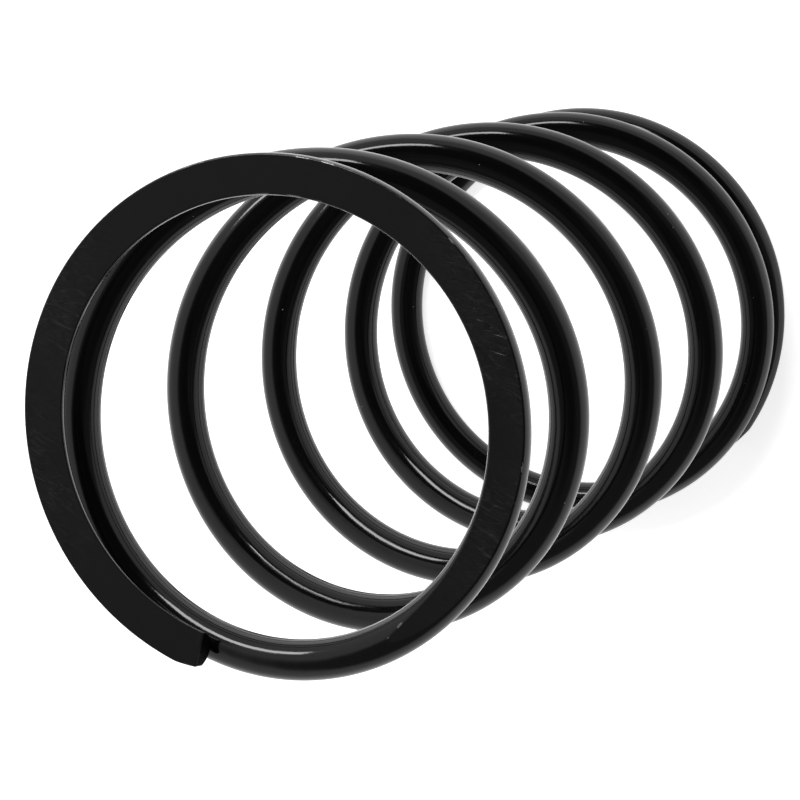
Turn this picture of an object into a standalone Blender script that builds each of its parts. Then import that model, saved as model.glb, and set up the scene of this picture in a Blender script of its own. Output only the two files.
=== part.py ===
"""Coil spring: a cylindrical compression spring of round wire, wound right-handed, with closed and ground ends.

The real spring is one length of wire. It stands on its lower ground end, with the coil's axis along +Z and the
lower wire tip on +X. The wire is modelled as lengths that follow each other along the coil: the two end coils
that the seats press on, and short arcs of the active coils between them. Each arc slides down along the axis a
little against the arc below it, and all of them together close the coil up, as the twisting wire does.
"""

import math

import bmesh
import bpy

# Driving dimensions, in metres and in turns of the coil
WIRE_DIAMETER = 0.012
MEAN_COIL_DIAMETER = 0.140
TOTAL_TURNS = 5.803
ARCS_PER_TURN = 8
ACTIVE_ARCS = 30
CUT_GAP = 0.0003

# Height of the wire's centre over the ground face at the tip: grinding has taken just over half of the tip
TIP_CENTRE_HEIGHT = -0.0008

# Rise per turn at a distance in turns from each tip: nearly flat where the coil is ground, then up and
# over the tip, then the even pitch of the active coils
LOWER_END_PITCH = (
    (0.00, 0.0062),
    (0.65, 0.0045),
    (0.78, 0.0165),
    (0.90, 0.0380),
    (1.00, 0.0480),
    (1.20, 0.0660),
    (1.60, 0.0835),
    (2.10, 0.0820),
    (2.60, 0.0807),
)
UPPER_END_PITCH = (
    (0.00, 0.0070),
    (0.65, 0.0040),
    (0.78, 0.0150),
    (0.90, 0.0400),
    (1.00, 0.0550),
    (1.20, 0.0650),
    (1.60, 0.0810),
    (2.10, 0.0860),
    (2.60, 0.0807),
)

# The end coils open out towards the tips, where the cut wire springs back
LOWER_TIP_FLARE = 0.0003
UPPER_TIP_FLARE = 0.0012
FLARE_TURNS = 0.9

# How finely the round wire is faceted
WIRE_BEVEL_RESOLUTION = 4
ARC_STEPS = 6
END_COIL_STEPS = 49
LEVEL_STEP = 1 / 360
HEIGHT_STEPS_PER_TURN = 400
SHARP_EDGE = math.radians(40)
WELD_DISTANCE = 1e-6

# The grinding block overhangs the coil, and is thicker than the wire
BLOCK_SIDE = 1.5 * MEAN_COIL_DIAMETER
BLOCK_DEPTH = 2 * WIRE_DIAMETER

BLACK_PAINT = {"colour": (0.012, 0.012, 0.013, 1.0), "roughness": 0.16, "metallic": 0.0}
GROUND_PAINT = {"colour": (0.016, 0.016, 0.016, 1.0), "roughness": 0.42, "metallic": 0.0}

MEAN_RADIUS = MEAN_COIL_DIAMETER / 2
END_TURNS = (TOTAL_TURNS - ACTIVE_ARCS / ARCS_PER_TURN) / 2
HALF_GAP_TURNS = CUT_GAP / 2 / (math.pi * MEAN_COIL_DIAMETER)


def clear_scene():
    for obj in list(bpy.data.objects):
        bpy.data.objects.remove(obj, do_unlink=True)


def new_collection(name):
    collection = bpy.data.collections.new(name)
    bpy.context.scene.collection.children.link(collection)
    return collection


def pitch_at(turn):
    """Rise per turn at this place along the wire."""
    in_lower_half = turn < TOTAL_TURNS / 2
    from_tip = turn if in_lower_half else TOTAL_TURNS - turn
    places = LOWER_END_PITCH if in_lower_half else UPPER_END_PITCH
    for (t0, p0), (t1, p1) in zip(places, places[1:]):
        if from_tip < t1:
            return p0 + (p1 - p0) * (from_tip - t0) / (t1 - t0)
    return places[-1][1]


def height_at(turn):
    """Height of the wire's centre: the pitch summed up from the lower tip by the midpoint rule."""
    steps = max(1, math.ceil(turn * HEIGHT_STEPS_PER_TURN))
    step = turn / steps
    rise = sum(pitch_at((i + 0.5) * step) for i in range(steps)) * step
    return TIP_CENTRE_HEIGHT + rise


def flare(from_tip, at_tip):
    """How far the wire stands out at a distance in turns from a tip, easing to nothing over FLARE_TURNS."""
    left = max(0.0, 1 - from_tip / FLARE_TURNS)
    return at_tip * left * left * (3 - 2 * left)


def radius_at(turn):
    """Radius of the wire's centreline about the coil's axis."""
    return MEAN_RADIUS + flare(turn, LOWER_TIP_FLARE) + flare(TOTAL_TURNS - turn, UPPER_TIP_FLARE)


def centre_point(turn):
    angle = 2 * math.pi * turn
    radius = radius_at(turn)
    return (radius * math.cos(angle), radius * math.sin(angle), height_at(turn))


def points_along(first, last, steps):
    """Centre points of a length of wire. Its short first and last steps are level, so that the cut faces stand
    upright and the pieces on each side of a cut can slide past each other straight down the axis."""
    inner_first, inner_last = first + LEVEL_STEP, last - LEVEL_STEP
    turns = [inner_first + (inner_last - inner_first) * i / steps for i in range(steps + 1)]
    points = [centre_point(turn) for turn in turns]
    start, end = centre_point(first), centre_point(last)
    points[0] = (*points[0][:2], start[2])
    points[-1] = (*points[-1][:2], end[2])
    return [start, *points, end]


def finish_material(obj, finish):
    material = bpy.data.materials.new(f"{obj.name}_finish")
    material.use_nodes = True
    shader = material.node_tree.nodes["Principled BSDF"]
    shader.inputs["Base Color"].default_value = finish["colour"]
    shader.inputs["Roughness"].default_value = finish["roughness"]
    shader.inputs["Metallic"].default_value = finish["metallic"]
    obj.data.materials.append(material)


def wire_length(name, collection, first, last, steps):
    """A length of round wire along the coil, with its origin on the coil's axis at the height of its start."""
    origin_height = height_at(first)
    curve = bpy.data.curves.new(name, "CURVE")
    curve.dimensions = "3D"
    curve.twist_mode = "Z_UP"
    curve.bevel_depth = WIRE_DIAMETER / 2
    curve.bevel_resolution = WIRE_BEVEL_RESOLUTION
    curve.use_fill_caps = True
    spline = curve.splines.new("POLY")
    places = points_along(first, last, steps)
    spline.points.add(len(places) - 1)
    for point, (x, y, z) in zip(spline.points, places):
        point.co = (x, y, z - origin_height, 1.0)
    spline.use_smooth = True
    obj = bpy.data.objects.new(name, curve)
    obj.location = (0.0, 0.0, origin_height)
    collection.objects.link(obj)
    return obj


def as_closed_mesh(obj, collection):
    """The same length of wire as a welded mesh object, which a Boolean can cut."""
    bpy.context.view_layer.update()
    evaluated = obj.evaluated_get(bpy.context.evaluated_depsgraph_get())
    mesh = bpy.data.meshes.new_from_object(evaluated)
    welded = bmesh.new()
    welded.from_mesh(mesh)
    bmesh.ops.remove_doubles(welded, verts=welded.verts, dist=WELD_DISTANCE)
    bmesh.ops.recalc_face_normals(welded, faces=welded.faces)
    welded.to_mesh(mesh)
    welded.free()
    mesh.shade_smooth()
    mesh.set_sharp_from_angle(angle=SHARP_EDGE)
    name, place = obj.name, obj.matrix_world.copy()
    bpy.data.objects.remove(obj, do_unlink=True)
    made = bpy.data.objects.new(name, mesh)
    made.matrix_world = place
    collection.objects.link(made)
    return made


def grinding_block(name, collection, face_height, towards):
    """A block that takes away all the wire past the ground face. towards is +1 above the face and -1 below it."""
    bpy.ops.mesh.primitive_cube_add(size=1)
    block = bpy.context.object
    block.name = name
    block.scale = (BLOCK_SIDE, BLOCK_SIDE, BLOCK_DEPTH)
    block.location = (0.0, 0.0, face_height + towards * BLOCK_DEPTH / 2)
    block.hide_render = True
    block.display_type = "WIRE"
    for holder in list(block.users_collection):
        holder.objects.unlink(block)
    collection.objects.link(block)
    return block


def end_coil(name, parts, cutters, first, last, face_height, towards):
    """One closed end coil, ground flat across its outer side."""
    coil = wire_length(name, parts, first, last, END_COIL_STEPS)
    coil = as_closed_mesh(coil, parts)
    grind = coil.modifiers.new("ground_face", "BOOLEAN")
    grind.operation = "DIFFERENCE"
    grind.solver = "EXACT"
    grind.object = grinding_block(f"{name}_grinding_block", cutters, face_height, towards)
    finish_material(coil, GROUND_PAINT)
    return coil


def active_arcs(parts):
    """The active coils, as arcs that share the turns between the two end coils."""
    for number in range(ACTIVE_ARCS):
        coil, arc = divmod(number, ARCS_PER_TURN)
        first = END_TURNS + number / ARCS_PER_TURN + HALF_GAP_TURNS
        last = END_TURNS + (number + 1) / ARCS_PER_TURN - HALF_GAP_TURNS
        name = f"active_coil_{coil + 1}_arc_{arc + 1}"
        finish_material(wire_length(name, parts, first, last, ARC_STEPS), BLACK_PAINT)


def main():
    clear_scene()
    parts = new_collection("coil_spring")
    cutters = new_collection("cutters")
    free_length = height_at(TOTAL_TURNS) + TIP_CENTRE_HEIGHT
    end_coil("lower_end_coil", parts, cutters, 0.0, END_TURNS - HALF_GAP_TURNS, 0.0, -1)
    active_arcs(parts)
    upper_start = TOTAL_TURNS - END_TURNS + HALF_GAP_TURNS
    end_coil("upper_end_coil", parts, cutters, upper_start, TOTAL_TURNS, free_length, 1)


main()
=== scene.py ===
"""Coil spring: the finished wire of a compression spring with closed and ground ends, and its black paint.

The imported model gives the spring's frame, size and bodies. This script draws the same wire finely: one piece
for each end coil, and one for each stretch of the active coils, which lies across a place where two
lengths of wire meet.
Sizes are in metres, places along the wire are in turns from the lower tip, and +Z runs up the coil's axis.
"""

import math

import bpy
import numpy as np
from mathutils import Matrix, Vector


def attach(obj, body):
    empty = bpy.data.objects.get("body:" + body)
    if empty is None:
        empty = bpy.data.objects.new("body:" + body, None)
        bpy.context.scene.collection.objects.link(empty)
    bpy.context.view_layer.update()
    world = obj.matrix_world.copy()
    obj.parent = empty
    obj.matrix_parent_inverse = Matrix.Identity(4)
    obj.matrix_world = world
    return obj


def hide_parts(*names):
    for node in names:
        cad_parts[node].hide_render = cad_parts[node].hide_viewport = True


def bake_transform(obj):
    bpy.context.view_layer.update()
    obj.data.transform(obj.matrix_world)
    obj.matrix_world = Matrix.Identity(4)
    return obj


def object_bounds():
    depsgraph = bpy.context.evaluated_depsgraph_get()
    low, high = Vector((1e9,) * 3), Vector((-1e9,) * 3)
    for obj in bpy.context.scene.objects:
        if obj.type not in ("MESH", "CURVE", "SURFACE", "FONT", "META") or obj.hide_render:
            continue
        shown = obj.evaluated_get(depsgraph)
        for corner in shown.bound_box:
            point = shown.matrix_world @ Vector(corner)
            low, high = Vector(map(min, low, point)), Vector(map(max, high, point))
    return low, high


bl_info = {
    "name": "Coil Spring Finish",
    "version": (1, 0, 0),
    "blender": (4, 5, 0),
    "location": "View3D > Sidebar > Coil Spring",
    "description": "Builds the painted wire of a compression spring with closed and ground ends",
    "category": "Object",
}

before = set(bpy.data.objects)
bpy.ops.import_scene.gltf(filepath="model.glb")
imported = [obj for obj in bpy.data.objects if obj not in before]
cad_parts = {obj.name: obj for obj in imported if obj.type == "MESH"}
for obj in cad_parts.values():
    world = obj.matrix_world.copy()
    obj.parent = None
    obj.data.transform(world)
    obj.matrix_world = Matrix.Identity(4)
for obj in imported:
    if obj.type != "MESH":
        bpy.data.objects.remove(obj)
CAD_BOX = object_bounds()
FREE_LENGTH = CAD_BOX[1][2]

# The coil's shape, as the model of the spring has it
ARCS_PER_TURN = 8
ACTIVE_ARCS = 30
TIP_CENTRE_HEIGHT = -0.0008
LOWER_END_PITCH = (
    (0.00, 0.0062),
    (0.65, 0.0045),
    (0.78, 0.0165),
    (0.90, 0.0380),
    (1.00, 0.0480),
    (1.20, 0.0660),
    (1.60, 0.0835),
    (2.10, 0.0820),
    (2.60, 0.0807),
)
UPPER_END_PITCH = (
    (0.00, 0.0070),
    (0.65, 0.0040),
    (0.78, 0.0150),
    (0.90, 0.0400),
    (1.00, 0.0550),
    (1.20, 0.0650),
    (1.60, 0.0810),
    (2.10, 0.0860),
    (2.60, 0.0807),
)
LOWER_TIP_FLARE = 0.0003
UPPER_TIP_FLARE = 0.0012
FLARE_TURNS = 0.9

# How finely the wire is drawn
STEPS_PER_TURN = 192
HEIGHT_STEPS_PER_TURN = 2400
ROUND_STEPS = 44
FACE_STEPS = 12
EDGE_STEPS = 4
RING_POINTS = ROUND_STEPS + FACE_STEPS + 2 * EDGE_STEPS
TANGENT_STEP = 1e-4
TIP_STEP = 0.0005
TIP_LENGTH = 0.008
TIP_ROUND_STEPS = 4
TIP_FACE_RINGS = (0.2, 0.45, 0.7, 0.9)

# The face runs out along the wire to a narrow line, whose points then spread evenly round the wire again
RUN_OUT_HALF_ANGLE = math.radians(3)
EVEN_HALF_ANGLE = math.pi * (FACE_STEPS + 2 * EDGE_STEPS) / RING_POINTS
SPREAD_TURNS = 0.07

# The rounded edge of a ground face takes at most this share of the face's half width
WIDEST_EDGE = 0.4

CORNERS_PER_WALL = 4

PLACE_LAYER = "wire_place"
GROUND_LAYER = "ground_share"
EDGE_LAYER = "edge_share"

# A Mix node's sockets for each kind of value: first input, second input and output
MIX_SOCKETS = {"FLOAT": (2, 3, 0), "VECTOR": (4, 5, 1), "RGBA": (6, 7, 2)}

# In the textures below, scales are noise cells per metre, depths are in metres, and a tint multiplies a
# colour. A range or an area is where the noise starts to show and where it shows fully. A scale with three
# values on the wire is along it, across it and up it.

# Gloss paint: slow waves, orange peel, lines along the drawn wire, and haze
WAVE_SCALE = 90
WAVE_DEPTH = 0.00010
PEEL_SCALE = 650
PEEL_DEPTH = 0.000010
DRAWN_SCALE = (25, 1400, 1400)
DRAWN_DEPTH = 0.0000025
HAZE_SCALE = 45
HAZE_TINT = 1.5
HAZE_RANGE = (0.3, 0.7)
HAZE_ROUGHNESS = (0.8, 1.3)

# Gloss paint: specks of dust, and scuffs from handling
DUST_SCALE = 480.0
DUST_SIZE = (0.05, 0.11)
DUST_AREA_SCALE = 160
DUST_AREA = (0.66, 0.70)
DUST_ROUGHNESS = 0.5
DUST_DEPTH = 0.00003
SCUFF_SCALE = (120, 2600, 2600)
SCUFF_RANGE = (0.70, 0.76)
SCUFF_AREA_SCALE = 28
SCUFF_AREA = (0.60, 0.72)
SCUFF_STRENGTH = 0.12
SCUFF_ROUGHNESS = 0.25

# Ground face: grinding marks, fine and coarse. They show most at two sides of a face, this way about the axis
# and this far from it.
FINE_SCALE = (200, 1300, 1)
FINE_SHARE = 0.3
COARSE_SCALE = (130, 560, 1)
COARSE_SHARE = 0.7
MARKS_RANGE = (0.47, 0.58)
MARKS_DEPTH = 0.00060
# The grinding marks are real grooves, bumped below; this tint lightens their colour as painted sheen, standing
# in for light the grooves catch
MARKS_SHEEN_TINT = 2.5
MARKS_ROUGHNESS = 0.82
WHEEL_ANGLE = math.radians(40)
WHEEL_REACH = (0.040, 0.066)
WHEEL_LEAST = 0.05
PATCH_SCALE = 26
PATCH_RANGE = (0.36, 0.56)
PATCH_LEAST = 0.15

# Ground face: grain, clouds in the satin paint, and fine scratches that cross the grinding marks at an angle
GRAIN_SCALE = 1800
GRAIN_DEPTH = 0.000010
CLOUD_SCALE = 60
CLOUD_TINTS = (0.8, 1.6)
SCRATCH_TURN = 0.9
SCRATCH_SCALE = (25, 1500, 1)
SCRATCH_RANGE = (0.74, 0.78)
SCRATCH_AREA_SCALE = 22
SCRATCH_AREA = (0.60, 0.68)
SCRATCH_STRENGTH = 0.06

# Chips at the edge of a ground face
CHIP_SCALE = (160, 500, 500)
CHIP_RANGE = (0.55, 0.59)
CHIP_AREA_SCALE = 16
CHIP_AREA = (0.50, 0.60)
CHIP_EDGE = (0.35, 0.7)
CHIP_STRENGTH = 0.45

# Sheared end of the wire
TORN_SCALE = (900, 900, 260)
TORN_RANGE = (0.3, 0.7)
TORN_TINT = 0.5
TORN_ROUGHNESS = (0.45, 0.65)
TORN_DEPTH = 0.00012
TORN_GLOSS = 0.02

# Floor paper
FIBRE_SCALE = 900
FIBRE_DEPTH = 0.00002
SHADE_SCALE = 3
SHADE_TINT = 0.985
PAPER_ROUGHNESS = 0.9
PAPER_GLOSS = 0.1

# Where the camera looks, on the level of the upper ground face, and the nearest that it sees
CAMERA_TARGET = (0.0256, 0.0305, FREE_LENGTH)
CAMERA_NEAR = 0.01

# Parts of the room overhead: azimuth and elevation, then how far it reaches fully and at all, in degrees, and
# its brightness. Each lies over the one before.
ROOM_PARTS = (
    (1, 60, 54, 66, 0.20),
    (10, 58, 12, 38, 0.06),
    (114, 56, 24, 36, 0.02),
)

# The long softbox, which faces the middle of the spring
SOFTBOX_AZIMUTH = math.radians(150)
SOFTBOX_ELEVATION = math.radians(40)
SOFTBOX_DISTANCE = 1.6
SOFTBOX_WIDTH = 1.2
SOFTBOX_HEIGHT = 0.3


class SpringSizes(bpy.types.PropertyGroup):
    """Sizes of the wire and its ends."""

    wire_diameter: bpy.props.FloatProperty(
        name="Wire diameter", description="Diameter of the round wire", default=0.012, unit="LENGTH"
    )
    coil_diameter: bpy.props.FloatProperty(
        name="Coil diameter",
        description="Diameter of the wire's centreline",
        default=0.140,
        unit="LENGTH",
    )
    turns: bpy.props.FloatProperty(
        name="Turns", description="Turns of wire from tip to tip", default=5.803
    )
    edge_round: bpy.props.FloatProperty(
        name="Edge rounding",
        description="How far the paint rounds off the edge of a ground face",
        default=0.0005,
        unit="LENGTH",
    )
    tip_round: bpy.props.FloatProperty(
        name="Tip rounding",
        description="Radius at the edge of a tip's end face",
        default=0.0003,
        unit="LENGTH",
    )
    tip_dish: bpy.props.FloatProperty(
        name="Tip dish",
        description="How far the end face is sunk at its middle",
        default=0.0003,
        unit="LENGTH",
    )
    nip_length: bpy.props.FloatProperty(
        name="Nip length",
        description="Length of wire whose outer side the shear nipped off beside the tip",
        default=0.0063,
        unit="LENGTH",
    )
    nip_depth: bpy.props.FloatProperty(
        name="Nip depth", description="How much the shear took off at the tip", default=0.0013, unit="LENGTH"
    )
    tip_slant: bpy.props.FloatProperty(
        name="Tip slant",
        description="Angle of the sheared end face from square",
        default=math.radians(13),
        subtype="ANGLE",
    )
    tip_skew: bpy.props.FloatProperty(
        name="Tip skew",
        description="Angle by which the outer side of the end face stands ahead of its inner side",
        default=math.radians(5),
        subtype="ANGLE",
    )


class SpringPaint(bpy.types.PropertyGroup):
    """The black paint, and the marks in it."""

    wire_colour: bpy.props.FloatVectorProperty(
        name="Wire colour",
        description="Colour of the gloss paint on the wire",
        default=(0.0018, 0.0018, 0.0021),
        subtype="COLOR",
    )
    face_colour: bpy.props.FloatVectorProperty(
        name="Face colour",
        description="Colour of the satin paint on a ground face",
        default=(0.0026, 0.0026, 0.0027),
        subtype="COLOR",
    )
    bare_colour: bpy.props.FloatVectorProperty(
        name="Bare steel",
        description="Colour of the steel in a chip",
        default=(0.42, 0.41, 0.39),
        subtype="COLOR",
    )
    dust_colour: bpy.props.FloatVectorProperty(
        name="Dust", description="Colour of dust specks", default=(0.30, 0.30, 0.29), subtype="COLOR"
    )
    wire_roughness: bpy.props.FloatProperty(
        name="Wire roughness", description="Mean roughness of the gloss paint", default=0.10, subtype="FACTOR"
    )
    paint_index: bpy.props.FloatProperty(
        name="Paint index", description="Refractive index of the paint, which sets its gloss", default=1.37
    )
    face_roughness: bpy.props.FloatProperty(
        name="Face roughness", description="Mean roughness of the ground face", default=0.34, subtype="FACTOR"
    )
    grinding_angle: bpy.props.FloatProperty(
        name="Grinding direction",
        description="Direction of the grinding marks about the coil's axis",
        default=math.radians(18),
        subtype="ANGLE",
    )


class SpringStage(bpy.types.PropertyGroup):
    """The floor, the light and the camera."""

    floor_colour: bpy.props.FloatVectorProperty(
        name="Floor colour", description="Colour of the floor", default=(0.90, 0.90, 0.90), subtype="COLOR"
    )
    floor_side: bpy.props.FloatProperty(
        name="Floor side", description="Side of the square floor", default=8.0, unit="LENGTH"
    )
    floor_drop: bpy.props.FloatProperty(
        name="Floor drop",
        description="Gap between the lower face and the floor",
        default=0.0005,
        unit="LENGTH",
    )
    floor_glow: bpy.props.FloatProperty(
        name="Floor glow", description="Light that the floor gives off, which thins its shadows", default=0.75
    )
    surround: bpy.props.FloatProperty(
        name="Surround", description="Strength of the white surround", default=1.0
    )
    softbox_glow: bpy.props.FloatProperty(
        name="Softbox brightness", description="How bright the long softbox looks", default=17.0
    )
    lens: bpy.props.FloatProperty(
        name="Lens", description="Focal length of the camera, in millimetres", default=146.56
    )
    camera_distance: bpy.props.FloatProperty(
        name="Camera distance", description="Distance from the upper end", default=0.9089, unit="LENGTH"
    )
    camera_azimuth: bpy.props.FloatProperty(
        name="Camera azimuth",
        description="Side that the camera is on",
        default=math.radians(59.74),
        subtype="ANGLE",
    )
    camera_elevation: bpy.props.FloatProperty(
        name="Camera elevation",
        description="How high the camera stands",
        default=math.radians(69.25),
        subtype="ANGLE",
    )
    camera_roll: bpy.props.FloatProperty(
        name="Camera roll",
        description="Turn about the line of sight",
        default=math.radians(-110.587),
        subtype="ANGLE",
    )


def direction_to(azimuth, elevation):
    """Unit vector towards a place, with azimuth from +X and elevation from level."""
    level = math.cos(elevation)
    return Vector((level * math.cos(azimuth), level * math.sin(azimuth), math.sin(elevation)))


def smooth_step(share):
    share = np.clip(share, 0, 1)
    return share * share * (3 - 2 * share)


def flare(from_tip, at_tip):
    """How far the wire stands out at a distance in turns from a tip."""
    left = np.clip(1 - from_tip / FLARE_TURNS, 0, None)
    return at_tip * left * left * (3 - 2 * left)


class WireShape:
    """The wire's centreline and its ground faces, worked out from the spring's sizes."""

    def __init__(self, sizes):
        self.sizes = sizes
        self.radius = sizes.wire_diameter / 2
        self.coil_radius = sizes.coil_diameter / 2
        self.turn_length = 2 * math.pi * self.coil_radius
        self.end_turns = (sizes.turns - ACTIVE_ARCS / ARCS_PER_TURN) / 2
        self.table_turns, self.table_heights = self.height_table()
        heights = self.table_heights
        self.run_out = {
            -1: float(np.interp(self.radius, heights, self.table_turns)),
            1: float(np.interp(self.radius, (FREE_LENGTH - heights)[::-1], self.table_turns)),
        }

    def height_table(self):
        """Places along the wire and its centre's heights, with the pitch summed up from the lower tip."""
        total = self.sizes.turns
        turns = np.linspace(0, total, round(total * HEIGHT_STEPS_PER_TURN) + 1)
        middles = (turns[1:] + turns[:-1]) / 2
        lower = np.interp(middles, *zip(*LOWER_END_PITCH))
        upper = np.interp(total - middles, *zip(*UPPER_END_PITCH))
        pitch = np.where(middles < total / 2, lower, upper)
        rise = np.concatenate([[0.0], np.cumsum(pitch)]) * (turns[1] - turns[0])
        return turns, TIP_CENTRE_HEIGHT + rise

    def centres(self, turns):
        """Centre points of the wire, one row for each place."""
        radius = self.coil_radius + flare(turns, LOWER_TIP_FLARE)
        radius = radius + flare(self.sizes.turns - turns, UPPER_TIP_FLARE)
        angle = 2 * math.pi * turns
        height = np.interp(turns, self.table_turns, self.table_heights)
        return np.stack([radius * np.cos(angle), radius * np.sin(angle), height], axis=1)

    def tangents(self, turns):
        """Unit directions along the wire, towards the upper end."""
        low = np.clip(turns - TANGENT_STEP, 0, None)
        high = np.clip(turns + TANGENT_STEP, None, self.sizes.turns)
        along = self.centres(high) - self.centres(low)
        return along / np.linalg.norm(along, axis=1)[:, None]

    def joint_turn(self, number):
        """Place of the joint between two lengths of wire, counted from the lower end coil."""
        return self.end_turns + number / ARCS_PER_TURN


class Section:
    """The wire's cross-section at one place: points (across, up) with normals, and the surface they are on.

    The points run round the wire from the outer end of the face, over the round side, to its inner end, and
    back across the face. They are drawn with the face below, and turned over for the upper end.
    """

    def __init__(self, radius, half_angle, face_depth, edge_round):
        self.radius = radius
        if face_depth is None:
            self.round_wire(half_angle)
        else:
            self.ground_wire(half_angle, face_depth, edge_round)

    def round_side(self, start):
        """Points and normals of the round side, from an angle on the outer side to its mirror image."""
        angles = np.linspace(start, 2 * math.pi - start, ROUND_STEPS + 1)
        normals = np.stack([np.sin(angles), -np.cos(angles)], axis=1)
        return self.radius * normals, normals

    def round_wire(self, half_angle):
        """The whole round section, with half_angle as where the face's points begin."""
        side, side_normals = self.round_side(half_angle)
        under = np.linspace(-half_angle, half_angle, FACE_STEPS + 2 * EDGE_STEPS + 1)[1:-1]
        under_normals = np.stack([np.sin(under), -np.cos(under)], axis=1)
        self.points = np.concatenate([side, self.radius * under_normals])
        self.normals = np.concatenate([side_normals, under_normals])
        self.ground = np.zeros(RING_POINTS)
        self.edge = np.zeros(RING_POINTS)

    def ground_wire(self, half_angle, face_depth, edge_round):
        """A section cut flat across its lower side, with the two edges rounded off."""
        half_width = self.radius * math.sin(half_angle)
        reach = min(edge_round, WIDEST_EDGE * half_width)
        side, side_normals = self.round_side(half_angle + reach / self.radius)
        corner = np.array([half_width, -face_depth])
        on_face = np.array([half_width - reach, -face_depth])
        down = np.array([0.0, -1.0])
        share = np.linspace(0, 1, EDGE_STEPS + 1)[1:-1, None]
        outer = share**2 * side[0] + 2 * share * (1 - share) * corner + (1 - share) ** 2 * on_face
        outer_normals = share * side_normals[0] + (1 - share) * down
        outer_normals /= np.linalg.norm(outer_normals, axis=1)[:, None]
        mirror = np.array([-1.0, 1.0])
        across = np.linspace(-on_face[0], on_face[0], FACE_STEPS + 1)
        face = np.stack([across, np.full(FACE_STEPS + 1, -face_depth)], axis=1)
        face_normals = np.tile(down, (FACE_STEPS + 1, 1))
        self.points = np.concatenate([side, (outer * mirror)[::-1], face, outer])
        inner_normals = (outer_normals * mirror)[::-1]
        self.normals = np.concatenate([side_normals, inner_normals, face_normals, outer_normals])
        on_face_share = 1 - share[:, 0]
        edge_share = np.sin(math.pi * share[:, 0])
        self.ground = np.concatenate(
            [np.zeros(ROUND_STEPS + 1), on_face_share[::-1], np.ones(FACE_STEPS + 1), on_face_share]
        )
        self.edge = np.concatenate(
            [np.zeros(ROUND_STEPS + 1), edge_share[::-1], np.zeros(FACE_STEPS + 1), edge_share]
        )


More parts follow.
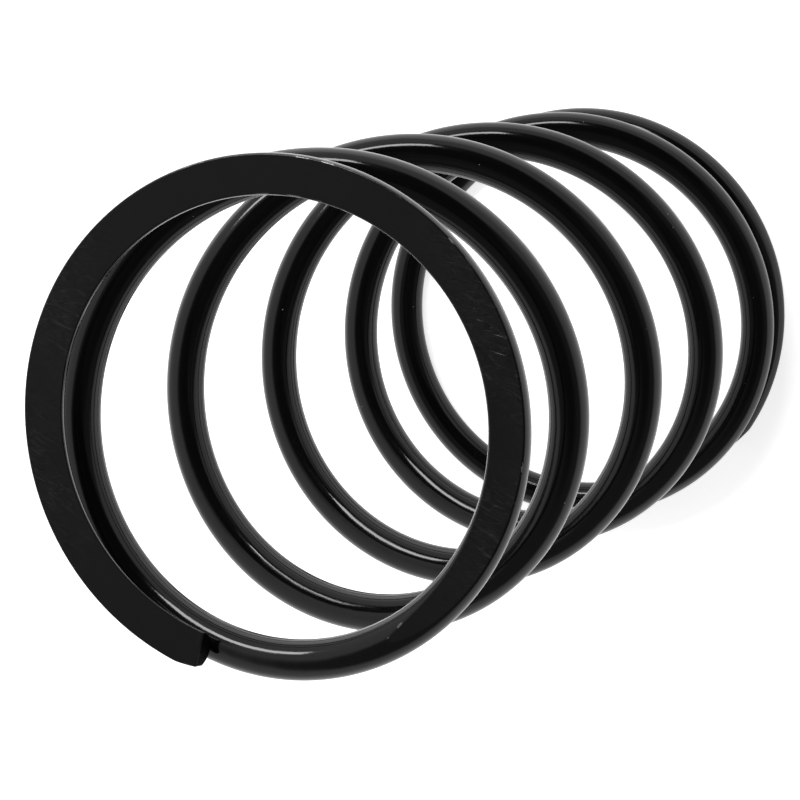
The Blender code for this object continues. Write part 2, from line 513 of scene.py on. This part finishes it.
class WireGrid:
    """Rings of points along a stretch of the wire. towards is -1 for a face below them, +1 for one above."""

    def __init__(self, shape, turns, towards):
        self.shape = shape
        self.towards = towards
        self.middle = shape.centres(turns)
        self.along = shape.tangents(turns)
        angle = 2 * math.pi * turns
        out = np.stack([np.cos(angle), np.sin(angle), np.zeros(len(turns))], axis=1)
        out -= (out * self.along).sum(axis=1)[:, None] * self.along
        self.out = out / np.linalg.norm(out, axis=1)[:, None]
        self.up = np.cross(self.out, self.along)
        sections = [self.section(t, c[2], u[2]) for t, c, u in zip(turns, self.middle, self.up)]
        over = np.array([1.0, -towards])
        self.flat = np.array([s.points for s in sections]) * over
        self.flat_normals = np.array([s.normals for s in sections]) * over
        self.ground = np.array([s.ground for s in sections])
        self.edge = np.array([s.edge for s in sections])
        self.length = turns * shape.turn_length
        self.tip_lean = np.zeros(self.ground.shape)
        self.reach = np.zeros(self.ground.shape)
        self.face_level = FREE_LENGTH if towards > 0 else 0.0

    def section(self, turn, centre_height, lean):
        """The section at a place. lean is the Z share of the direction that is up across the wire."""
        shape, radius = self.shape, self.shape.radius
        from_tip = turn if self.towards < 0 else shape.sizes.turns - turn
        over_face = centre_height if self.towards < 0 else FREE_LENGTH - centre_height
        face_depth = over_face / lean
        if from_tip < 1 and face_depth < radius * math.cos(RUN_OUT_HALF_ANGLE):
            half_angle = math.acos(face_depth / radius)
            return Section(radius, half_angle, face_depth, shape.sizes.edge_round)
        spread = smooth_step((from_tip - shape.run_out[self.towards]) / SPREAD_TURNS)
        half_angle = RUN_OUT_HALF_ANGLE + (EVEN_HALF_ANGLE - RUN_OUT_HALF_ANGLE) * float(spread)
        return Section(radius, half_angle, None, 0)

    def shape_tip(self, distances):
        """Nip off the outer side beside the tip and round off the end face. The rings start at the tip."""
        sizes, radius = self.shape.sizes, self.shape.radius
        slope = math.atan2(sizes.nip_depth, sizes.nip_length)
        for ring, distance in enumerate(distances):
            if distance < sizes.nip_length:
                limit = radius - sizes.nip_depth * (1 - distance / sizes.nip_length)
                nipped = self.flat[ring, :, 0] > limit
                self.flat[ring, nipped, 0] = limit
                self.flat_normals[ring, nipped] = (math.cos(slope), 0)
                self.tip_lean[ring, nipped] = math.sin(slope)
                self.ground[ring, nipped] = 0
        for step in range(TIP_ROUND_STEPS):
            turned = step / TIP_ROUND_STEPS * math.pi / 2
            inset = sizes.tip_round * (1 - math.sin(turned))
            centre = self.flat[step].mean(axis=0)
            self.flat[step] = centre + (self.flat[step] - centre) * (1 - inset / radius)
            self.flat_normals[step] *= math.sin(turned)
            self.tip_lean[step] = math.cos(turned)
            self.edge[step] = math.cos(turned)
        below_face = self.towards * (self.face_level - self.heights())
        near_tip = 1 - smooth_step(distances / TIP_LENGTH)
        from_inside = self.flat[:, :, 0] + radius
        reach = math.tan(sizes.tip_slant) * below_face + math.tan(sizes.tip_skew) * from_inside
        self.reach = reach * near_tip[:, None]

    def heights(self):
        return (self.spread(self.flat) + self.middle[:, None, :])[:, :, 2]

    def finish(self):
        """World points, normals and places on the wire of all rings."""
        self.points = self.spread(self.flat) + self.middle[:, None, :]
        self.points += self.towards * self.reach[:, :, None] * self.along[:, None, :]
        normals = self.spread(self.flat_normals)
        normals += self.towards * self.tip_lean[:, :, None] * self.along[:, None, :]
        level = np.array([0.0, 0.0, float(self.towards)])
        on_face = (self.ground == 1)[:, :, None] & (self.tip_lean == 0)[:, :, None]
        self.normals = np.where(on_face, level, normals)
        length = np.broadcast_to(self.length[:, None], self.ground.shape)
        self.place = np.stack([length, self.flat[:, :, 0], self.flat[:, :, 1]], axis=2)

    def spread(self, flat):
        """Directions (across, up) of each ring, in the spring's frame."""
        return flat[:, :, :1] * self.out[:, None, :] + flat[:, :, 1:] * self.up[:, None, :]

    def add_end_face(self, dish):
        """Rings that close the tip from its rounded edge in to the middle, in front of the others."""
        rim = self.points[0]
        centre = rim.mean(axis=0)
        inward = -self.towards * self.along[0]
        rings, normals = [], []
        for share in TIP_FACE_RINGS:
            rings.append(centre + (rim - centre) * share + inward * dish * (1 - share**2))
            normals.append(np.tile(-inward, (RING_POINTS, 1)))
        self.points = np.concatenate([rings, self.points])
        self.normals = np.concatenate([normals, self.normals])
        extra = len(TIP_FACE_RINGS)
        self.place = np.concatenate([np.repeat(self.place[:1], extra, axis=0), self.place])
        self.place[:extra, :, 1:] *= np.array(TIP_FACE_RINGS)[:, None, None]
        self.ground = np.concatenate([np.zeros((extra, RING_POINTS)), self.ground])
        self.edge = np.concatenate([np.zeros((extra, RING_POINTS)), self.edge])


def wire_object(name, grid, material, tip_material=None):
    """A closed length of wire as an object. Its wall keeps the wire's own normals, and its ends are flat."""
    rings = len(grid.points)
    faces = []
    for ring in range(rings - 1):
        low, high = ring * RING_POINTS, (ring + 1) * RING_POINTS
        for i in range(RING_POINTS):
            j = (i + 1) % RING_POINTS
            faces.append((low + i, high + i, high + j, low + j))
    walls = len(faces)
    faces.append(tuple(range(RING_POINTS)))
    faces.append(tuple(range(rings * RING_POINTS - 1, (rings - 1) * RING_POINTS - 1, -1)))
    mesh = bpy.data.meshes.new(name)
    mesh.from_pydata(grid.points.reshape(-1, 3).tolist(), [], faces)
    for layer, kind, socket, values in (
        (PLACE_LAYER, "FLOAT_VECTOR", "vector", grid.place),
        (GROUND_LAYER, "FLOAT", "value", grid.ground),
        (EDGE_LAYER, "FLOAT", "value", grid.edge),
    ):
        attribute = mesh.attributes.new(layer, kind, "POINT")
        attribute.data.foreach_set(socket, values.astype(np.float32).ravel())
    mesh.polygons.foreach_set("use_smooth", [index < walls for index in range(len(faces))])
    mesh.update()
    normals = grid.normals.reshape(-1, 3)
    corners = np.array([loop.vertex_index for loop in mesh.loops])
    loop_normals = normals[corners]
    loop_normals[walls * CORNERS_PER_WALL :] = 0
    mesh.normals_split_custom_set(loop_normals.tolist())
    obj = bpy.data.objects.new(name, mesh)
    mesh.materials.append(material)
    if tip_material is not None:
        mesh.materials.append(tip_material)
        tip_walls = len(TIP_FACE_RINGS) * RING_POINTS
        for index in (*range(tip_walls), walls):
            mesh.polygons[index].material_index = 1
    bpy.context.scene.collection.objects.link(obj)
    return obj


class NodeDesk:
    """A material's node tree, with short ways to add and join nodes."""

    def __init__(self, name):
        self.material = bpy.data.materials.new(name)
        self.material.use_nodes = True
        self.tree = self.material.node_tree
        self.shader = self.tree.nodes["Principled BSDF"]

    def add(self, kind, inputs=None, **settings):
        node = self.tree.nodes.new(kind)
        for key, value in settings.items():
            setattr(node, key, value)
        for key, value in (inputs or {}).items():
            self.feed(node.inputs[key], value)
        return node

    def feed(self, socket, value):
        if isinstance(value, bpy.types.NodeSocket):
            self.tree.links.new(value, socket)
        else:
            socket.default_value = value

    def attribute(self, name, output):
        return self.add("ShaderNodeAttribute", attribute_name=name).outputs[output]

    def scaled(self, vector, scale):
        return self.add("ShaderNodeMapping", {"Vector": vector, "Scale": scale}).outputs["Vector"]

    def turned(self, vector, angle):
        """The same places, seen from axes turned about +Z by an angle."""
        return self.add("ShaderNodeMapping", {"Vector": vector, "Rotation": (0, 0, -angle)}).outputs["Vector"]

    def noise(self, vector, scale, detail=2.0, roughness=0.5, distortion=0.0):
        inputs = {"Vector": vector, "Scale": scale, "Detail": detail, "Roughness": roughness}
        inputs["Distortion"] = distortion
        return self.add("ShaderNodeTexNoise", inputs).outputs["Fac"]

    def ramp(self, value, low, high, to_low=0.0, to_high=1.0):
        """A smooth step of a value, from to_low at low to to_high at high."""
        inputs = {"Value": value, "From Min": low, "From Max": high, "To Min": to_low, "To Max": to_high}
        return self.add("ShaderNodeMapRange", inputs, interpolation_type="SMOOTHSTEP").outputs["Result"]

    def maths(self, operation, first, second=0.0, third=0.0):
        inputs = {0: first, 1: second, 2: third}
        return self.add("ShaderNodeMath", inputs, operation=operation).outputs[0]

    def mix(self, kind, share, first, second):
        """Mix of two values of a kind in MIX_SOCKETS."""
        first_socket, second_socket, out_socket = MIX_SOCKETS[kind]
        node = self.add("ShaderNodeMix", {"Factor": share}, data_type=kind)
        self.feed(node.inputs[first_socket], first)
        self.feed(node.inputs[second_socket], second)
        return node.outputs[out_socket]

    def bump(self, height, distance, normal=None):
        inputs = {"Height": height, "Distance": distance}
        if normal is not None:
            inputs["Normal"] = normal
        return self.add("ShaderNodeBump", inputs).outputs["Normal"]


def solid(colour, tint=1):
    """An opaque colour, with its three parts multiplied by a tint."""
    return (*(part * tint for part in colour), 1.0)


def paint_marks(desk, paint):
    """The gloss paint on round wire, and what handling left in it: colour, roughness and normal."""
    place = desk.attribute(PLACE_LAYER, "Vector")
    waves = desk.noise(place, WAVE_SCALE, detail=1)
    peel = desk.noise(place, PEEL_SCALE, detail=2)
    drawn = desk.noise(desk.scaled(place, DRAWN_SCALE), 1, detail=3, roughness=0.6)
    haze = desk.noise(place, HAZE_SCALE, detail=4, roughness=0.65)
    grit = desk.add("ShaderNodeTexVoronoi", {"Vector": place, "Scale": DUST_SCALE})
    near = desk.ramp(grit.outputs["Distance"], *DUST_SIZE, 1, 0)
    picked = desk.ramp(desk.noise(place, DUST_AREA_SCALE, detail=3), *DUST_AREA)
    dust = desk.maths("MULTIPLY", near, picked)
    scuff_lines = desk.noise(desk.scaled(place, SCUFF_SCALE), 1, detail=2)
    scuff_area = desk.ramp(desk.noise(place, SCUFF_AREA_SCALE, detail=2), *SCUFF_AREA)
    scuffs = desk.maths("MULTIPLY", desk.ramp(scuff_lines, *SCUFF_RANGE), scuff_area)
    tinted = desk.mix("RGBA", haze, solid(paint.wire_colour), solid(paint.wire_colour, HAZE_TINT))
    scuff_share = desk.maths("MULTIPLY", scuffs, SCUFF_STRENGTH)
    scuffed = desk.mix("RGBA", scuff_share, tinted, solid(paint.dust_colour))
    colour = desk.mix("RGBA", dust, scuffed, solid(paint.dust_colour))
    least, most = (paint.wire_roughness * share for share in HAZE_ROUGHNESS)
    rough = desk.ramp(haze, *HAZE_RANGE, least, most)
    rough = desk.maths("MULTIPLY_ADD", scuffs, SCUFF_ROUGHNESS, rough)
    rough = desk.maths("MULTIPLY_ADD", dust, DUST_ROUGHNESS, rough)
    normal = desk.bump(waves, WAVE_DEPTH)
    normal = desk.bump(peel, PEEL_DEPTH, normal)
    normal = desk.bump(drawn, DRAWN_DEPTH, normal)
    normal = desk.bump(dust, DUST_DEPTH, normal)
    return colour, rough, normal


def gloss_black_paint(paint):
    """Black paint on the round wire."""
    desk = NodeDesk("gloss_black_paint")
    colour, rough, normal = paint_marks(desk, paint)
    desk.shader.inputs["IOR"].default_value = paint.paint_index
    desk.feed(desk.shader.inputs["Base Color"], colour)
    desk.feed(desk.shader.inputs["Roughness"], rough)
    desk.feed(desk.shader.inputs["Normal"], normal)
    return desk.material


def grinding_marks(desk, spot, angle):
    """Marks that run straight across a face, and how much they show: most at two sides, in patches."""
    ground_way = desk.turned(spot, angle)
    fine = desk.noise(desk.scaled(ground_way, FINE_SCALE), 1, detail=3, distortion=0.6)
    coarse = desk.noise(desk.scaled(ground_way, COARSE_SCALE), 1, detail=2, distortion=1.0)
    wheel_way = (math.cos(WHEEL_ANGLE), math.sin(WHEEL_ANGLE), 0)
    inputs = {0: spot, 1: wheel_way}
    to_side = desk.add("ShaderNodeVectorMath", inputs, operation="DOT_PRODUCT").outputs["Value"]
    at_sides = desk.ramp(desk.maths("ABSOLUTE", to_side), *WHEEL_REACH, WHEEL_LEAST, 1.0)
    patchy = desk.ramp(desk.noise(spot, PATCH_SCALE, detail=2), *PATCH_RANGE, PATCH_LEAST, 1.0)
    patches = desk.maths("MULTIPLY", at_sides, patchy)
    fine_part = desk.maths("MULTIPLY", fine, FINE_SHARE)
    return desk.maths("MULTIPLY_ADD", coarse, COARSE_SHARE, fine_part), patches


def face_paint(desk, paint):
    """The satin paint on a ground face, with painted sheen along its grinding marks: colour, roughness and
    normal.
    """
    spot = desk.add("ShaderNodeTexCoord").outputs["Object"]
    marks, patches = grinding_marks(desk, spot, paint.grinding_angle)
    shown = desk.maths("MULTIPLY", desk.ramp(marks, *MARKS_RANGE), patches)
    cloud = desk.noise(spot, CLOUD_SCALE, detail=4, roughness=0.6)
    dark, light = (solid(paint.face_colour, tint) for tint in CLOUD_TINTS)
    colour = desk.mix("RGBA", cloud, dark, light)
    # Painted sheen: the grinding marks are drawn lighter in colour, standing in for light their real grooves
    # catch
    colour = desk.mix("RGBA", shown, colour, solid(paint.face_colour, MARKS_SHEEN_TINT))
    scratch_way = desk.turned(spot, paint.grinding_angle + SCRATCH_TURN)
    scratch_lines = desk.noise(desk.scaled(scratch_way, SCRATCH_SCALE), 1, detail=1)
    scratch_area = desk.ramp(desk.noise(spot, SCRATCH_AREA_SCALE, detail=1), *SCRATCH_AREA)
    scratches = desk.maths("MULTIPLY", desk.ramp(scratch_lines, *SCRATCH_RANGE), scratch_area)
    scratch_share = desk.maths("MULTIPLY", scratches, SCRATCH_STRENGTH)
    colour = desk.mix("RGBA", scratch_share, colour, solid(paint.dust_colour))
    rough = desk.ramp(shown, 0, 1, paint.face_roughness, paint.face_roughness * MARKS_ROUGHNESS)
    normal = desk.bump(desk.maths("MULTIPLY", marks, patches), MARKS_DEPTH)
    normal = desk.bump(desk.noise(spot, GRAIN_SCALE, detail=2), GRAIN_DEPTH, normal)
    return colour, rough, normal


def edge_chips(desk):
    """How much bare steel shows, where a ground face's edge was knocked."""
    place = desk.attribute(PLACE_LAYER, "Vector")
    edge = desk.attribute(EDGE_LAYER, "Fac")
    knocks = desk.noise(desk.scaled(place, CHIP_SCALE), 1, detail=3, roughness=0.6)
    knocked_area = desk.ramp(desk.noise(place, CHIP_AREA_SCALE, detail=1), *CHIP_AREA)
    chips = desk.maths("MULTIPLY", desk.ramp(knocks, *CHIP_RANGE), knocked_area)
    return desk.maths("MULTIPLY", chips, desk.ramp(edge, *CHIP_EDGE, 0.0, CHIP_STRENGTH))


def end_coil_paint(paint):
    """Black paint on an end coil: gloss on the round wire, satin on the ground face, chipped at its edges."""
    desk = NodeDesk("end_coil_paint")
    wire_colour, wire_rough, wire_normal = paint_marks(desk, paint)
    face_colour, face_rough, face_normal = face_paint(desk, paint)
    ground = desk.attribute(GROUND_LAYER, "Fac")
    chips = edge_chips(desk)
    colour = desk.mix("RGBA", ground, wire_colour, face_colour)
    colour = desk.mix("RGBA", chips, colour, solid(paint.bare_colour))
    desk.shader.inputs["IOR"].default_value = paint.paint_index
    desk.feed(desk.shader.inputs["Base Color"], colour)
    desk.feed(desk.shader.inputs["Roughness"], desk.mix("FLOAT", ground, wire_rough, face_rough))
    desk.feed(desk.shader.inputs["Metallic"], chips)
    desk.feed(desk.shader.inputs["Normal"], desk.mix("VECTOR", ground, wire_normal, face_normal))
    return desk.material


def cut_end_paint(paint):
    """Thin dull paint on the sheared end of the wire, with the tear marks of the shear under it."""
    desk = NodeDesk("cut_end_paint")
    spot = desk.add("ShaderNodeTexCoord").outputs["Object"]
    torn = desk.noise(desk.scaled(spot, TORN_SCALE), 1, detail=4, roughness=0.65)
    colour = desk.mix("RGBA", torn, solid(paint.face_colour, TORN_TINT), solid(paint.face_colour))
    desk.feed(desk.shader.inputs["Base Color"], colour)
    desk.feed(desk.shader.inputs["Roughness"], desk.ramp(torn, *TORN_RANGE, *TORN_ROUGHNESS))
    desk.feed(desk.shader.inputs["Normal"], desk.bump(torn, TORN_DEPTH))
    desk.shader.inputs["Specular IOR Level"].default_value = TORN_GLOSS
    return desk.material


def floor_paper(stage):
    """Pale matt paper, glowing a little so that its shadows stay thin."""
    desk = NodeDesk("floor_paper")
    spot = desk.add("ShaderNodeTexCoord").outputs["Object"]
    fibres = desk.noise(spot, FIBRE_SCALE, detail=3)
    shade = desk.noise(spot, SHADE_SCALE, detail=2)
    colour = desk.mix("RGBA", shade, solid(stage.floor_colour, SHADE_TINT), solid(stage.floor_colour))
    desk.feed(desk.shader.inputs["Base Color"], colour)
    desk.feed(desk.shader.inputs["Normal"], desk.bump(fibres, FIBRE_DEPTH))
    desk.shader.inputs["Roughness"].default_value = PAPER_ROUGHNESS
    desk.shader.inputs["Specular IOR Level"].default_value = PAPER_GLOSS
    desk.shader.inputs["Emission Color"].default_value = (1, 1, 1, 1)
    desk.shader.inputs["Emission Strength"].default_value = stage.floor_glow
    return desk.material


def length_names():
    """The names of the wire's lengths, from the lower tip to the upper."""
    places = [divmod(number, ARCS_PER_TURN) for number in range(ACTIVE_ARCS)]
    arcs = [f"active_coil_{coil + 1}_arc_{arc + 1}" for coil, arc in places]
    return ["lower_end_coil", *arcs, "upper_end_coil"]


class SPRING_OT_end_coils(bpy.types.Operator):
    """Build the two closed end coils, each ground flat and painted"""

    bl_idname = "spring.end_coils"
    bl_label = "End coils"

    def execute(self, context):
        shape = WireShape(context.scene.spring_sizes)
        materials = end_coil_paint(context.scene.spring_paint), cut_end_paint(context.scene.spring_paint)
        for body, towards in (("lower_end_coil", -1), ("upper_end_coil", 1)):
            piece = self.end_coil(shape, f"{body}_wire", towards, materials)
            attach(piece, body)
            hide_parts(body)
        return {"FINISHED"}

    def end_coil(self, shape, name, towards, materials):
        sizes = shape.sizes
        angles = np.arange(TIP_ROUND_STEPS + 1) / TIP_ROUND_STEPS * math.pi / 2
        rounded = sizes.tip_round * (1 - np.cos(angles))
        close = np.arange(sizes.tip_round + TIP_STEP, TIP_LENGTH, TIP_STEP)
        seam = (shape.end_turns - 1 / (2 * ARCS_PER_TURN)) * shape.turn_length
        steps = math.ceil((seam - TIP_LENGTH) / shape.turn_length * STEPS_PER_TURN)
        distances = np.concatenate([rounded, close, np.linspace(TIP_LENGTH, seam, steps + 1)])
        from_tip = distances / shape.turn_length
        turns = from_tip if towards < 0 else sizes.turns - from_tip
        grid = WireGrid(shape, turns, towards)
        grid.shape_tip(distances)
        grid.finish()
        grid.add_end_face(sizes.tip_dish)
        return wire_object(name, grid, *materials)


class SPRING_OT_active_coils(bpy.types.Operator):
    """Build the active coils, as stretches that each lie across a place where two lengths of wire meet"""

    bl_idname = "spring.active_coils"
    bl_label = "Active coils"

    def execute(self, context):
        shape = WireShape(context.scene.spring_sizes)
        material = gloss_black_paint(context.scene.spring_paint)
        names = length_names()
        half = 1 / (2 * ARCS_PER_TURN)
        steps = round(2 * half * STEPS_PER_TURN)
        for number, (below, above) in enumerate(zip(names, names[1:])):
            middle = shape.joint_turn(number)
            grid = WireGrid(shape, np.linspace(middle - half, middle + half, steps + 1), -1)
            grid.finish()
            piece = wire_object(f"active_wire_{number + 1}", grid, material)
            along = Vector(shape.tangents(np.array([middle]))[0])
            along.z = 0
            along.normalize()
            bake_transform(piece)
            if number < ACTIVE_ARCS:
                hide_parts(above)
        return {"FINISHED"}


class SPRING_OT_stage(bpy.types.Operator):
    """Lay the floor and set up the lights and the camera"""

    bl_idname = "spring.stage"
    bl_label = "Floor, light and camera"

    def execute(self, context):
        stage = context.scene.spring_stage
        self.floor(stage)
        self.surround(context.scene, stage)
        self.softbox(stage)
        self.camera(context.scene, stage)
        context.scene.view_settings.view_transform = "Standard"
        return {"FINISHED"}

    def floor(self, stage):
        bpy.ops.mesh.primitive_plane_add(size=stage.floor_side, location=(0, 0, -stage.floor_drop))
        floor = bpy.context.object
        floor.name = "floor"
        floor.data.materials.append(floor_paper(stage))

    def surround(self, scene, stage):
        """White all round, but dim and dark overhead, where the room behind the camera is."""
        world = bpy.data.worlds.new("surround")
        world.use_nodes = True
        scene.world = world
        tree = world.node_tree
        background = tree.nodes["Background"]
        direction = tree.nodes.new("ShaderNodeTexCoord").outputs["Generated"]
        level = None
        for azimuth, elevation, inner, outer, brightness in ROOM_PARTS:
            closeness = tree.nodes.new("ShaderNodeVectorMath")
            closeness.operation = "DOT_PRODUCT"
            closeness.inputs[1].default_value = direction_to(math.radians(azimuth), math.radians(elevation))
            tree.links.new(direction, closeness.inputs[0])
            dimming = tree.nodes.new("ShaderNodeMapRange")
            dimming.interpolation_type = "SMOOTHSTEP"
            dimming.inputs["From Min"].default_value = math.cos(math.radians(outer))
            dimming.inputs["From Max"].default_value = math.cos(math.radians(inner))
            dimming.inputs["To Min"].default_value = stage.surround
            dimming.inputs["To Max"].default_value = brightness
            tree.links.new(closeness.outputs["Value"], dimming.inputs["Value"])
            if level is not None:
                tree.links.new(level, dimming.inputs["To Min"])
            level = dimming.outputs["Result"]
        tree.links.new(level, background.inputs["Strength"])
        background.inputs["Color"].default_value = (1, 1, 1, 1)

    def softbox(self, stage):
        data = bpy.data.lights.new("long_softbox", "AREA")
        data.shape = "RECTANGLE"
        data.size = SOFTBOX_WIDTH
        data.size_y = SOFTBOX_HEIGHT
        data.energy = stage.softbox_glow * math.pi * SOFTBOX_WIDTH * SOFTBOX_HEIGHT
        light = bpy.data.objects.new("long_softbox", data)
        back = direction_to(SOFTBOX_AZIMUTH, SOFTBOX_ELEVATION)
        light.location = Vector((0, 0, FREE_LENGTH / 2)) + back * SOFTBOX_DISTANCE
        light.rotation_euler = back.to_track_quat("Z", "Y").to_euler()
        light.visible_camera = False
        bpy.context.scene.collection.objects.link(light)

    def camera(self, scene, stage):
        back = direction_to(stage.camera_azimuth, stage.camera_elevation)
        data = bpy.data.cameras.new("camera")
        data.lens = stage.lens
        data.clip_start = CAMERA_NEAR
        camera = bpy.data.objects.new("camera", data)
        level = back.to_track_quat("Z", "Y").to_matrix().to_4x4()
        turned = level @ Matrix.Rotation(stage.camera_roll, 4, "Z")
        place = Vector(CAMERA_TARGET) + back * stage.camera_distance
        camera.matrix_world = Matrix.Translation(place) @ turned
        scene.collection.objects.link(camera)
        scene.camera = camera


class SPRING_PT_build(bpy.types.Panel):
    """Steps that build the finished spring"""

    bl_idname = "SPRING_PT_build"
    bl_label = "Coil Spring"
    bl_space_type = "VIEW_3D"
    bl_region_type = "UI"
    bl_category = "Coil Spring"

    def draw(self, context):
        for operator in OPERATORS:
            self.layout.operator(operator.bl_idname)
        for name in GROUPS:
            box = self.layout.box()
            group = getattr(context.scene, name)
            for key in group.__annotations__:
                box.prop(group, key)


GROUPS = {"spring_sizes": SpringSizes, "spring_paint": SpringPaint, "spring_stage": SpringStage}
OPERATORS = (SPRING_OT_end_coils, SPRING_OT_active_coils, SPRING_OT_stage)


def register():
    for cls in (*GROUPS.values(), *OPERATORS, SPRING_PT_build):
        bpy.utils.register_class(cls)
    for name, group in GROUPS.items():
        setattr(bpy.types.Scene, name, bpy.props.PointerProperty(type=group))


def unregister():
    for name in GROUPS:
        delattr(bpy.types.Scene, name)
    for cls in (SPRING_PT_build, *reversed(OPERATORS), *reversed(GROUPS.values())):
        bpy.utils.unregister_class(cls)


def main():
    register()
    bpy.ops.spring.end_coils()
    bpy.ops.spring.active_coils()
    bpy.ops.spring.stage()


if __name__ == "__main__":
    main()
